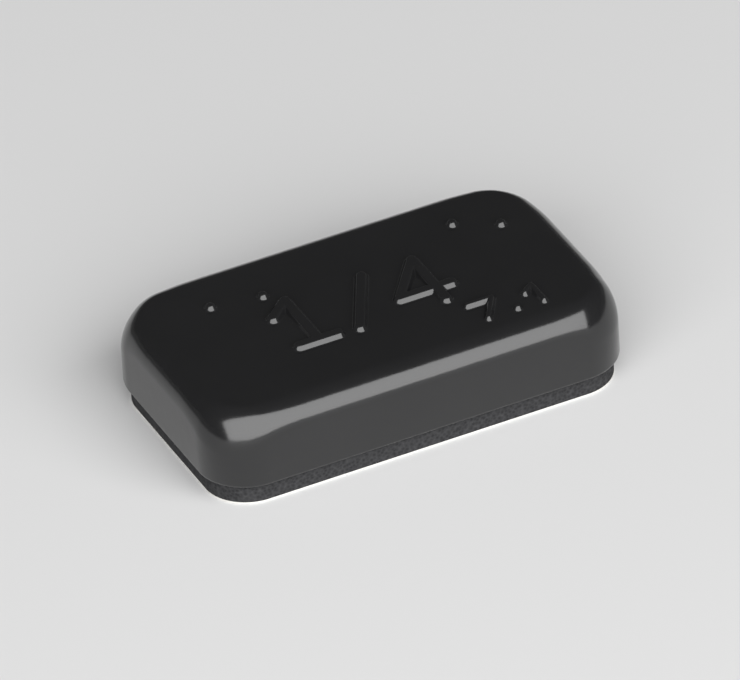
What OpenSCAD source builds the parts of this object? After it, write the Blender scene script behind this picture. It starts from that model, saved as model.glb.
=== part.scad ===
// Adhesive-backed steel balance weight for a wheel rim, one quarter-ounce segment.
// A pressed steel slug stands on a pad of double-sided foam tape, and a paper
// liner covers the tape's free side. The origin is the centre of the liner's
// underside: X runs along the weight, Y across it and Z up through it.

/* [Steel slug] */
// Length of the slug over its ends
body_length = 20.6; // [14:0.1:30]
// Width of the slug over its long sides
body_width = 12; // [8:0.1:16]
// Thickness of the slug, which sets its weight
body_thickness = 3.8; // [2.5:0.05:6]
// Plan radius of the four corners
corner_radius = 2.4; // [1.8:0.1:3.8]
// Radius that the press rolls over the top edge
top_edge_radius = 1.2; // [0.4:0.1:1.6]
// Small radius of the lower edge under the coating
lower_edge_radius = 0.2; // [0.05:0.05:0.5]

/* [Adhesive tape] */
// Thickness of the foam tape
tape_thickness = 0.9; // [0.4:0.1:1.6]
// Distance that the tape stays in from the slug's sides
tape_inset = 0.3; // [0:0.05:0.6]

/* [Release liner] */
// Thickness of the paper liner
liner_thickness = 0.1; // [0.05:0.05:0.3]

/* [Hidden] */
$fn = 96;
coat_black = [0.035, 0.035, 0.038];
foam_grey = [0.09, 0.09, 0.095];
liner_white = [0.88, 0.87, 0.83];
// Half spans to the centres of the corner arcs
corner_x = body_length / 2 - corner_radius;
corner_y = body_width / 2 - corner_radius;
// Those centres, anticlockwise from the corner towards +X and +Y
corner_axes = [[corner_x, corner_y], [-corner_x, corner_y], [-corner_x, -corner_y], [corner_x, -corner_y]];
// The tape follows the slug's outline at a constant distance
tape_radius = corner_radius - tape_inset;
tape_base = liner_thickness;
body_base = tape_base + tape_thickness;

// Quarter of a disc, which rounds an edge without reaching back past its centre
module quarter_disc(radius) {
    intersection() {
        circle(r = radius);
        square(radius);
    }
}

// Half of the slug's section: a wall at the given reach from the section's
// inner line, rounded above and below, with its foot on the line z = 0
module wall_section(reach) {
    square([reach - top_edge_radius, body_thickness]);
    translate([0, lower_edge_radius])
        square([reach, body_thickness - top_edge_radius - lower_edge_radius]);
    square([reach - lower_edge_radius, body_thickness - top_edge_radius]);
    translate([reach - top_edge_radius, body_thickness - top_edge_radius])
        quarter_disc(top_edge_radius);
    translate([reach - lower_edge_radius, lower_edge_radius])
        mirror([0, 1]) quarter_disc(lower_edge_radius);
}

// The whole section of a bar of the given width
module bar_section(width) {
    wall_section(width / 2);
    mirror([1, 0]) wall_section(width / 2);
}

// A quarter turn of the wall about each corner's own axis
module corner_quarters() {
    for (turn = [0:3])
        translate(corner_axes[turn]) rotate([0, 0, 90 * turn])
            rotate_extrude(angle = 90) wall_section(corner_radius);
}

module steel_weight() {
    color(coat_black) translate([0, 0, body_base]) {
        // Bar that ends at the corners' axes and carries the long sides
        rotate([90, 0, 90]) translate([0, 0, -corner_x])
            linear_extrude(2 * corner_x) bar_section(body_width);
        // Bar across it that carries the two ends
        rotate([90, 0, 0]) translate([0, 0, -corner_y])
            linear_extrude(2 * corner_y) bar_section(body_length);
        corner_quarters();
    }
}

// Flat sheet with the slug's outline, drawn in by the tape's inset
module tape_outline() {
    square([2 * (corner_x + tape_radius), 2 * corner_y], center = true);
    square([2 * corner_x, 2 * (corner_y + tape_radius)], center = true);
    for (axis = corner_axes) translate(axis) circle(r = tape_radius);
}

module foam_tape() {
    color(foam_grey) translate([0, 0, tape_base])
        linear_extrude(tape_thickness) tape_outline();
}

module release_liner() {
    color(liner_white) linear_extrude(liner_thickness) tape_outline();
}

steel_weight();
foam_tape();
release_liner();
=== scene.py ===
import math

import bmesh
import bpy
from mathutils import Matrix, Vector


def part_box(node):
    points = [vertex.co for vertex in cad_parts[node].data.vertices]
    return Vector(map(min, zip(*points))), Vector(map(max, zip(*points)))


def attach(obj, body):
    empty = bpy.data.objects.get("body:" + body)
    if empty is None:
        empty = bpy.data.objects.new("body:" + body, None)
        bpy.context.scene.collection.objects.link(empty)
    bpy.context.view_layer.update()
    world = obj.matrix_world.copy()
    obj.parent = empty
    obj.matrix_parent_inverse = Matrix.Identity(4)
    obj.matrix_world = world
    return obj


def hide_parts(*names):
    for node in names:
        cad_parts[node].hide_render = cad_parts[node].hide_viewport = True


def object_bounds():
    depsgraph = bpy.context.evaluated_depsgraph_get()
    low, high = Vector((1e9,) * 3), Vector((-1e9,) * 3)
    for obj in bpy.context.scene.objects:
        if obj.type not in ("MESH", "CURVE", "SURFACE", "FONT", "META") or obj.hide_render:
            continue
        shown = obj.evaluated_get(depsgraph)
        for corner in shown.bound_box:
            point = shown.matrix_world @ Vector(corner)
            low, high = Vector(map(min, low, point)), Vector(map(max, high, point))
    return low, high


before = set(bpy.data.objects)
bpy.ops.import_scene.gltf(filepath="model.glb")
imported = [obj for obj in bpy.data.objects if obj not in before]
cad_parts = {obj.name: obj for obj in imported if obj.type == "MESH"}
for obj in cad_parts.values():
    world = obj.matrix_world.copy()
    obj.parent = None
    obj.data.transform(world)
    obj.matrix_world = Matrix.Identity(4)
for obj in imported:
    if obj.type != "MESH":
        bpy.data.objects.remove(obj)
cad_low, cad_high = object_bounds()

# Steel slug
# The weight is one slug of steel, pressed in a die that rolls its top edge over all
# round and leaves plain numerals and pips standing on its top. A satin black powder
# coat is baked over it, so every edge of the relief is a little soft.

# The pieces are drawn in millimetres and brought to metres at the end
MM_PER_M = 1000
TOLERANCE = 1e-4
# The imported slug's own radii
CORNER_RADIUS = 2.4
TOP_EDGE_RADIUS = 1.2
LOWER_EDGE_RADIUS = 0.2
CORNER_STEPS = 28
TOP_EDGE_STEPS = 24
LOWER_EDGE_STEPS = 4
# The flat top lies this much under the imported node's, and the relief rises a little past it
TOP_SINK = 0.1
# Width of the flat rim between the rolled edge and the filled top
COLLAR = 0.04
# Cuts across each long straight side, so that the corners' deeper roll can fade along it
SIDE_CUTS = 40
# The roll at a corner's middle: how much deeper, how much flatter, and how far that reaches
CORNER_ROLL = 0.8
CORNER_FLATNESS = 0.3
ROLL_REACH = 3.5


def mm_box(node):
    """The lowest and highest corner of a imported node, in millimetres."""
    return [corner * MM_PER_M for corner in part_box(node)]


def open_for_edit(piece):
    """Makes one piece the only selected object, in edit mode with nothing selected."""
    bpy.ops.object.select_all(action="DESELECT")
    piece.select_set(True)
    bpy.context.view_layer.objects.active = piece
    bpy.ops.object.mode_set(mode="EDIT")
    bpy.ops.mesh.select_all(action="DESELECT")


def pick(piece, mode, test):
    """Selects, in edit mode, just the edges or faces that pass the test."""
    bpy.ops.mesh.select_mode(type=mode)
    bpy.ops.mesh.select_all(action="DESELECT")
    mesh = bmesh.from_edit_mesh(piece.data)
    for part in mesh.edges if mode == "EDGE" else mesh.faces:
        if test(part):
            part.select_set(True)
    mesh.select_flush_mode()
    bmesh.update_edit_mesh(piece.data)


def is_upright(edge):
    """Whether an edge stands straight up."""
    run = edge.verts[0].co - edge.verts[1].co
    return run.xy.length < TOLERANCE


def lies_at(height):
    """A test for edges or faces that lie wholly at a height."""
    return lambda part: all(abs(corner.co.z - height) < TOLERANCE for corner in part.verts)


def block(name, low, high, corner_radius):
    """A block between two corners with its upright edges rounded, left in edit mode."""
    bpy.ops.object.select_all(action="DESELECT")
    bpy.ops.mesh.primitive_cube_add(size=1, location=(low + high) / 2, scale=high - low)
    bpy.ops.object.transform_apply(location=True, rotation=False, scale=True)
    piece = bpy.context.object
    piece.name = piece.data.name = name
    open_for_edit(piece)
    pick(piece, "EDGE", is_upright)
    bpy.ops.mesh.bevel(offset=corner_radius, segments=CORNER_STEPS, affect="EDGES")
    return piece


def bring_to_metres(piece):
    """Leaves edit mode and scales a piece that was drawn in millimetres to metres."""
    bpy.ops.mesh.select_all(action="SELECT")
    bpy.ops.mesh.normals_make_consistent(inside=False)
    bpy.ops.object.mode_set(mode="OBJECT")
    bpy.ops.object.select_all(action="DESELECT")
    piece.select_set(True)
    bpy.context.view_layer.objects.active = piece
    piece.scale = (1 / MM_PER_M,) * 3
    bpy.ops.object.transform_apply(location=False, rotation=False, scale=True)


slug_low, slug_high = mm_box("steel_weight")
top_height = slug_high.z - TOP_SINK
slug_top = Vector((slug_high.x, slug_high.y, top_height))
slug = block("steel_weight_coated", slug_low, slug_top, CORNER_RADIUS)
pick(slug, "EDGE", lies_at(slug_low.z))
bpy.ops.mesh.bevel(offset=LOWER_EDGE_RADIUS, segments=LOWER_EDGE_STEPS, affect="EDGES")
pick(slug, "EDGE", lies_at(top_height))
bpy.ops.mesh.bevel(offset=TOP_EDGE_RADIUS, segments=TOP_EDGE_STEPS, affect="EDGES")
pick(slug, "FACE", lies_at(top_height))
bpy.ops.mesh.inset(thickness=COLLAR, depth=0)
bpy.ops.mesh.delete(type="ONLY_FACE")
pick(slug, "EDGE", lambda edge: not is_upright(edge) and edge.calc_length() > CORNER_RADIUS)
bpy.ops.mesh.subdivide(number_cuts=SIDE_CUTS)

# The top is filled round fine sheets, which take the relief of the figures and the pips.
# Each sheet has its front left corner and its back right one.
SHEET_CELL = 0.035
PIP_PLACES = [(-6.4, 2.8), (-4.0, 2.4), (5.8, 3.2), (7.7, 2.1)]
PIP_RADIUS = 0.34
PIP_REACH = 0.375
SHEETS = [((-4.95, -2.45), (4.15, 1.95)), ((3.1, -4.65), (7.1, -2.55))]
SHEETS += [
    ((x - PIP_REACH, y - PIP_REACH), (x + PIP_REACH, y + PIP_REACH))
    for x, y in PIP_PLACES
]
for (left, front), (right, back) in SHEETS:
    centre = ((left + right) / 2, (front + back) / 2, top_height)
    bpy.ops.mesh.select_all(action="DESELECT")
    bpy.ops.mesh.primitive_grid_add(
        x_subdivisions=round((right - left) / SHEET_CELL),
        y_subdivisions=round((back - front) / SHEET_CELL),
        size=1,
        location=centre,
    )
    bpy.ops.transform.resize(value=(right - left, back - front, 1), center_override=centre)
pick(slug, "EDGE", lambda edge: edge.is_boundary)
bpy.ops.mesh.fill(use_beauty=True)
bpy.ops.object.mode_set(mode="OBJECT")

# The plain block figures 1/4 and 7.1: each stroke's half width, and its middle line's points
WIDE, NARROW = 0.38, 0.26
STROKES = [
    (WIDE, [(-4.4, 0.55), (-3.35, 1.5), (-3.35, -1.95)]),
    (WIDE, [(-4.3, -1.95), (-2.4, -1.95)]),
    (WIDE, [(-1.35, -2.0), (0.45, 1.5)]),
    (WIDE, [(2.95, -1.95), (2.95, 1.5), (1.15, -0.95), (3.7, -0.95)]),
    (NARROW, [(3.5, -2.95), (4.7, -2.95), (3.9, -4.25)]),
    (NARROW, [(5.35, -4.2), (5.4, -4.2)]),
    (NARROW, [(6.15, -3.35), (6.65, -2.95), (6.65, -4.25)]),
]
STROKES += [(PIP_RADIUS, [place, place]) for place in PIP_PLACES]
RELIEF_HEIGHT = 0.23
# Width of the soft slope down each side of a stroke
RELIEF_SLOPE = 0.22


def distance_to_line(x, y, start, stop):
    """The distance of a place from the line between two points."""
    run, rise = stop[0] - start[0], stop[1] - start[1]
    length_squared = run * run + rise * rise
    along = (x - start[0]) * run + (y - start[1]) * rise
    share = min(max(along / length_squared, 0), 1) if length_squared else 0
    return math.hypot(x - start[0] - share * run, y - start[1] - share * rise)


def relief(x, y):
    """The height of the relief at a place: full along the strokes' middles, soft at their sides."""
    depth = max(
        half - distance_to_line(x, y, start, stop)
        for half, points in STROKES
        for start, stop in zip(points, points[1:])
    )
    return RELIEF_HEIGHT * (1 - math.cos(math.pi * min(max(depth / RELIEF_SLOPE, 0), 1))) / 2


def corner_share(x, y):
    """The share of the corners' deeper roll at a place on the side, 1 at a corner's middle."""
    past_x = abs(x) - (slug_high.x - CORNER_RADIUS)
    past_y = abs(y) - (slug_high.y - CORNER_RADIUS)
    turn = math.atan2(max(past_y, 0), max(past_x, 0))
    from_corner = CORNER_RADIUS * abs(turn - math.pi / 4) + max(-past_x, 0) + max(-past_y, 0)
    return math.cos(math.pi / 2 * min(from_corner / ROLL_REACH, 1)) ** 2


def rolled(x, y, z):
    """The height of a place on the side, once the die has rolled the top edge over."""
    share = corner_share(x, y)
    wall_top, wall_foot = top_height - TOP_EDGE_RADIUS, slug_low.z + LOWER_EDGE_RADIUS
    if z < wall_top:
        return z - share * CORNER_ROLL * max((z - wall_foot) / (wall_top - wall_foot), 0)
    # The edge's quarter circle becomes a deeper and flatter curve of the same width
    out = math.sqrt(1 - min((z - wall_top) / TOP_EDGE_RADIUS, 1) ** 2)
    power = 2 - share * CORNER_FLATNESS
    depth = TOP_EDGE_RADIUS + share * CORNER_ROLL
    return top_height - depth + depth * (1 - out ** power) ** (1 / power)


for vertex in slug.data.vertices:
    x, y, z = vertex.co
    on_top = abs(z - top_height) < TOLERANCE
    vertex.co.z = z + relief(x, y) if on_top else rolled(x, y, z)
bpy.ops.object.mode_set(mode="EDIT")
bring_to_metres(slug)
bpy.ops.object.shade_smooth()


class Finish:
    """A new material, with the ways to lay patterns on its shader."""

    def __init__(self, name):
        self.material = bpy.data.materials.new(name)
        self.material.use_nodes = True
        self.nodes = self.material.node_tree.nodes
        self.link = self.material.node_tree.links.new
        self.shader = self.nodes["Principled BSDF"]

    def pattern(self, kind, **settings):
        """Adds a texture in the piece's own coordinates, and sets its inputs."""
        texture = self.nodes.new(kind)
        for name, value in settings.items():
            texture.inputs[name].default_value = value
        place = self.nodes.new("ShaderNodeTexCoord")
        self.link(place.outputs["Object"], texture.inputs["Vector"])
        return texture

    def tint(self, pattern, dark, pale):
        """Colours the shader from a dark tone to a pale one, as a pattern says."""
        tone = self.nodes.new("ShaderNodeValToRGB")
        tone.color_ramp.elements[0].color = (*dark, 1)
        tone.color_ramp.elements[1].color = (*pale, 1)
        self.link(pattern, tone.inputs["Fac"])
        self.link(tone.outputs["Color"], self.shader.inputs["Base Color"])

    def emboss(self, pattern, strength, depth):
        """Bumps the surface as a pattern says, to a depth in millimetres."""
        bump = self.nodes.new("ShaderNodeBump")
        bump.inputs["Strength"].default_value = strength
        bump.inputs["Distance"].default_value = depth / MM_PER_M
        self.link(pattern, bump.inputs["Height"])
        self.link(bump.outputs["Normal"], self.shader.inputs["Normal"])

    def set(self, **settings):
        """Sets the shader's inputs, whose names have a low line here for each space."""
        for name, value in settings.items():
            self.shader.inputs[name.replace("_", " ")].default_value = value

    def cover(self, piece):
        """Makes this the one material of a piece."""
        piece.data.materials.clear()
        piece.data.materials.append(self.material)


COAT_DARK, COAT_PALE = (0.009, 0.009, 0.0094), (0.0125, 0.0125, 0.013)
COAT_SMOOTHEST, COAT_ROUGHEST = 0.13, 0.19
COAT_IOR = 1.58
PEEL_STRENGTH, PEEL_DEPTH = 0.2, 0.03
coat = Finish("satin_black_powder_coat")
# Broad faint clouds in the colour, where the coat lies thicker and thinner
clouds = coat.pattern("ShaderNodeTexNoise", Scale=260, Detail=3, Roughness=0.5)
coat.tint(clouds.outputs["Fac"], COAT_DARK, COAT_PALE)
# Gloss that changes a little from spot to spot
gloss = coat.nodes.new("ShaderNodeMapRange")
gloss.inputs["To Min"].default_value = COAT_SMOOTHEST
gloss.inputs["To Max"].default_value = COAT_ROUGHEST
coat.link(clouds.outputs["Fac"], gloss.inputs["Value"])
coat.link(gloss.outputs["Result"], coat.shader.inputs["Roughness"])
coat.set(IOR=COAT_IOR)
# Orange peel of the baked powder
peel = coat.pattern("ShaderNodeTexNoise", Scale=1500, Detail=2, Roughness=0.45)
coat.emboss(peel.outputs["Fac"], PEEL_STRENGTH, PEEL_DEPTH)
coat.cover(slug)
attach(slug, "root")
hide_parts("steel_weight")

# Foam tape
# A pad of closed-cell foam with adhesive on both faces, die cut a little smaller
# than the slug and stuck under it. Its cut sides show the foam's open cells, bumped, with painted
# shade in each cell's hollow.
TAPE_ROWS = 8
# Faces that meet at more than this angle keep a sharp edge between them
SHARP_ANGLE = math.radians(40)
# Painted shade in the middle of each cell, and the paler foam tone on the cell walls
FOAM_PIT_SHADE, FOAM_PALE = (0.012, 0.012, 0.013), (0.04, 0.04, 0.042)
CELL_SIZE = 0.16
CELL_STRENGTH, CELL_DEPTH = 0.8, 0.05

tape_low, tape_high = mm_box("foam_tape")
# The tape and the liner follow the slug's outline at a constant distance
tape_inset = slug_high.x - tape_high.x
tape_corner_radius = CORNER_RADIUS - tape_inset
tape = block("foam_tape_pad", tape_low, tape_high, tape_corner_radius)
pick(tape, "EDGE", is_upright)
bpy.ops.mesh.subdivide(number_cuts=TAPE_ROWS)
bring_to_metres(tape)
bpy.ops.object.shade_smooth_by_angle(angle=SHARP_ANGLE)

foam = Finish("dark_foam")
cells_and_pit_shade = foam.pattern("ShaderNodeTexVoronoi", Scale=MM_PER_M / CELL_SIZE)
# The colour goes dark in each cell's sunken middle and paler towards its walls: painted shade in
# the hollows
foam.tint(cells_and_pit_shade.outputs["Distance"], FOAM_PIT_SHADE, FOAM_PALE)
foam.set(Roughness=0.9, Specular_IOR_Level=0.25)
foam.emboss(cells_and_pit_shade.outputs["Distance"], CELL_STRENGTH, CELL_DEPTH)
foam.cover(tape)
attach(tape, "root")
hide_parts("foam_tape")

# Release liner
# A sheet of smooth siliconed paper over the tape's free side, cut with the tape
# and peeled off before the weight is pressed on to the rim.
LINER_EDGE = 0.02
LINER_EDGE_STEPS = 2
PAPER_DARK, PAPER_PALE = (0.56, 0.55, 0.52), (0.66, 0.65, 0.62)
FIBRE_STRENGTH, FIBRE_DEPTH = 0.25, 0.01

liner_low, liner_high = mm_box("release_liner")
liner = block("paper_liner", liner_low, liner_high, tape_corner_radius)
pick(liner, "EDGE", lies_at(liner_low.z))
bpy.ops.mesh.bevel(offset=LINER_EDGE, segments=LINER_EDGE_STEPS, affect="EDGES")
bring_to_metres(liner)
bpy.ops.object.shade_smooth_by_angle(angle=SHARP_ANGLE)

paper = Finish("siliconed_paper")
fibres = paper.pattern("ShaderNodeTexNoise", Scale=900, Detail=6, Roughness=0.7)
paper.tint(fibres.outputs["Fac"], PAPER_DARK, PAPER_PALE)
paper.set(Roughness=0.38)
paper.emboss(fibres.outputs["Fac"], FIBRE_STRENGTH, FIBRE_DEPTH)
paper.cover(liner)
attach(liner, "root")
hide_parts("release_liner")

# Floor, lamp and camera
# A wide pale sheet that turns up into a low wall all round, one large soft lamp in
# front of the weight, and a long lens at the viewing angle. All of it is in metres.
FLOOR_RADIUS = 2.0
FLOOR_SIDES = 96
WALL_HEIGHT = 0.35
WALL_BEND = 0.3
WALL_BEND_STEPS = 12
FLOOR_TONE = (0.66, 0.66, 0.66, 1)

bpy.ops.object.select_all(action="DESELECT")
bpy.ops.mesh.primitive_circle_add(vertices=FLOOR_SIDES, radius=FLOOR_RADIUS, fill_type="NGON")
floor = bpy.context.object
floor.name = "floor"
open_for_edit(floor)
pick(floor, "EDGE", lambda edge: True)
bpy.ops.mesh.extrude_edges_move(TRANSFORM_OT_translate={"value": (0, 0, WALL_HEIGHT)})
pick(floor, "EDGE", lies_at(0))
bpy.ops.mesh.bevel(offset=WALL_BEND, segments=WALL_BEND_STEPS, affect="EDGES")
bpy.ops.object.mode_set(mode="OBJECT")
bpy.ops.object.shade_smooth_by_angle(angle=SHARP_ANGLE)
pale = Finish("pale_floor")
pale.set(Base_Color=FLOOR_TONE, Roughness=0.9, Specular_IOR_Level=0.2)
pale.cover(floor)


def aim(thing, azimuth, elevation, distance, at, roll=0):
    """Puts a lamp or camera at a direction and distance from a point, facing it."""
    turn, rise = math.radians(azimuth), math.radians(elevation)
    back = Vector((
        math.sin(turn) * math.cos(rise),
        -math.cos(turn) * math.cos(rise),
        math.sin(rise),
    ))
    thing.location = at + back * distance
    thing.rotation_euler = (-back).to_track_quat("-Z", "Y").to_matrix().to_euler()
    thing.rotation_euler.rotate_axis("Z", math.radians(roll))


middle = (cad_low + cad_high) / 2
SOFTBOX_AZIMUTH, SOFTBOX_ELEVATION = -4, 33
SOFTBOX_DISTANCE = 0.5
SOFTBOX_WIDTH, SOFTBOX_HEIGHT = 1.3, 0.58
# How far the lamp is then moved along its own width
SOFTBOX_SHIFT = -0.2
SOFTBOX_WATTS = 10.3
bpy.ops.object.light_add(type="AREA")
softbox = bpy.context.object
softbox.name = "softbox"
softbox.data.shape = "RECTANGLE"
softbox.data.size, softbox.data.size_y = SOFTBOX_WIDTH, SOFTBOX_HEIGHT
softbox.data.energy = SOFTBOX_WATTS
softbox.visible_camera = False
aim(softbox, SOFTBOX_AZIMUTH, SOFTBOX_ELEVATION, SOFTBOX_DISTANCE, middle)
softbox.location += softbox.rotation_euler.to_matrix() @ Vector((SOFTBOX_SHIFT, 0, 0))

ROOM_TONE = (0.07, 0.07, 0.07, 1)
world = bpy.data.worlds.new("dim_room")
world.use_nodes = True
world.node_tree.nodes["Background"].inputs["Color"].default_value = ROOM_TONE
bpy.context.scene.world = world

CAMERA_AZIMUTH, CAMERA_ELEVATION, CAMERA_ROLL = -24.2, 34.8, -3.6
CAMERA_DISTANCE = 0.622
CAMERA_LENS = 680
CAMERA_NEAR, CAMERA_FAR = 0.05, 20
bpy.ops.object.camera_add()
camera = bpy.context.object
camera.name = "camera"
camera.data.lens = CAMERA_LENS
camera.data.clip_start, camera.data.clip_end = CAMERA_NEAR, CAMERA_FAR
aim(camera, CAMERA_AZIMUTH, CAMERA_ELEVATION, CAMERA_DISTANCE, middle, CAMERA_ROLL)
bpy.context.scene.camera = camera
bpy.context.scene.view_settings.view_transform = "Standard"
